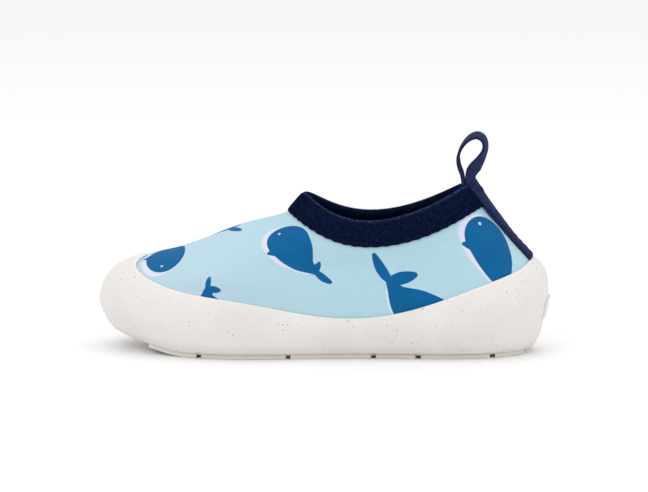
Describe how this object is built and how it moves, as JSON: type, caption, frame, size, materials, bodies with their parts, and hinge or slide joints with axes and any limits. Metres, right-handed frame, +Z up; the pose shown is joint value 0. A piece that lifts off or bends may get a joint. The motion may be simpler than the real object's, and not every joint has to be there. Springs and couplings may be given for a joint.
{
  "type": "child's slip-on neoprene water shoe",
  "caption": "Low slip-on child's water shoe: speckled off-white rubber cup sole, light blue whale-print stretch upper, navy knit collar and heel pull loop.",
  "frame": {"origin": "on the floor under the middle of the shoe's bounding box", "axes": "+Z up, +X from toe to heel, -Y to the outer side of this left shoe"},
  "size_m": [0.1682, 0.0696, 0.0809],
  "materials": {
    "cup_sole": "matte moulded rubber with fine specks",
    "tread_pads": "matte moulded rubber",
    "insole_board": "non-woven board",
    "footbed_foam": "closed-cell foam",
    "footbed_cover": "brushed knit",
    "neoprene_upper": "printed stretch jersey on neoprene",
    "upper_lining": "stretch jersey",
    "collar_band": "rib knit",
    "thread": "sewing thread",
    "tape_ribbon": "ribbed ribbon",
    "loop_ribbon": "ribbed ribbon",
    "heel_badge": "smooth rubber"
  },
  "bodies": {
    "shoe": {"cup_sole": "cup_sole", "tread_pad_1": "tread_pads", "tread_pad_2": "tread_pads", "tread_pad_3": "tread_pads", "tread_pad_4": "tread_pads", "tread_pad_5": "tread_pads", "tread_pad_6": "tread_pads", "tread_pad_7": "tread_pads", "insole_board": "insole_board", "footbed_foam": "footbed_foam", "footbed_cover": "footbed_cover", "neoprene_upper": "neoprene_upper", "upper_lining": "upper_lining", "collar_band": "collar_band", "collar_foot_stitch": "thread", "collar_top_stitch": "thread", "heel_tape": "tape_ribbon", "tape_stitch_outer": "thread", "tape_stitch_inner": "thread", "loop_bartack": "thread", "loop_tab": "tape_ribbon", "heel_badge": "heel_badge"},
    "loop": {"pull_loop": "loop_ribbon"}
  },
  "joints": [
    {"name": "loop_hinge", "type": "hinge", "parent": "shoe", "child": "loop", "pos_m": [0.0536, -0.0003, 0.0648], "axis": [0, 1, 0], "range_deg": [-35, 45], "stiffness_Nm_per_rad": 0.002}
  ]
}
